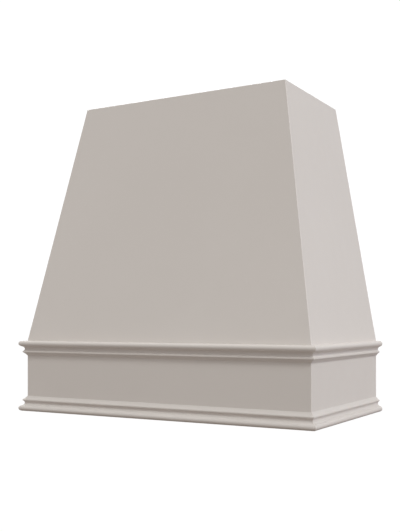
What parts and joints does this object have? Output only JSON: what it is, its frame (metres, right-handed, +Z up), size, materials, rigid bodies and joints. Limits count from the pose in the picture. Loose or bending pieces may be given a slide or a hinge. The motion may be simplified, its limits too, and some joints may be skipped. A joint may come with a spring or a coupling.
{
  "type": "wooden range hood cover",
  "caption": "Painted wooden wall-mounted range hood cover: tapered three-sided body on a straight apron, trimmed by stepped mouldings, open at back, top and underside.",
  "frame": {"origin": "middle of the footprint's box, on the plane of the apron's and lower moulding's underside", "axes": "+X to the right of a person facing the hood, +Y to the wall, +Z up; the front faces -Y and the wall plane is at y = 0.26035 m"},
  "size_m": [0.9524, 0.5206, 0.9144],
  "materials": {
    "painted": "sprayed satin greige paint over board and solid moulding",
    "plywood": "bare birch plywood with its plies showing on the edges",
    "poplar": "bare sawn and planed poplar",
    "zinc_steel": "yellowish zinc plating"
  },
  "bodies": {
    "root": {"apron_front": "painted", "apron_left": "painted", "apron_right": "painted", "front_panel": "painted", "left_panel": "painted", "right_panel": "painted", "upper_moulding_front": "painted", "upper_moulding_left": "painted", "upper_moulding_right": "painted", "lower_moulding_front": "painted", "lower_moulding_left": "painted", "lower_moulding_right": "painted", "top_ring_front": "plywood", "top_ring_left": "plywood", "top_ring_right": "plywood", "liner_ring_front": "plywood", "liner_ring_back": "plywood", "liner_ring_left": "plywood", "liner_ring_right": "plywood", "hanging_rail": "plywood", "waist_rail": "plywood", "lower_rail": "plywood", "waist_batten_front": "poplar", "waist_batten_left": "poplar", "waist_batten_right": "poplar", "liner_ledger_front": "poplar", "liner_ledger_left": "poplar", "liner_ledger_right": "poplar", "apron_corner_block_left": "poplar", "apron_corner_block_right": "poplar", "corner_strip_left": "poplar", "corner_strip_right": "poplar", "hanging_rail_screw_left_1": "zinc_steel", "hanging_rail_screw_left_2": "zinc_steel", "hanging_rail_screw_right_1": "zinc_steel", "hanging_rail_screw_right_2": "zinc_steel", "waist_rail_screw_left_1": "zinc_steel", "waist_rail_screw_left_2": "zinc_steel", "waist_rail_screw_right_1": "zinc_steel", "waist_rail_screw_right_2": "zinc_steel", "lower_rail_screw_left_1": "zinc_steel", "lower_rail_screw_left_2": "zinc_steel", "lower_rail_screw_right_1": "zinc_steel", "lower_rail_screw_right_2": "zinc_steel"}
  },
  "joints": []
}
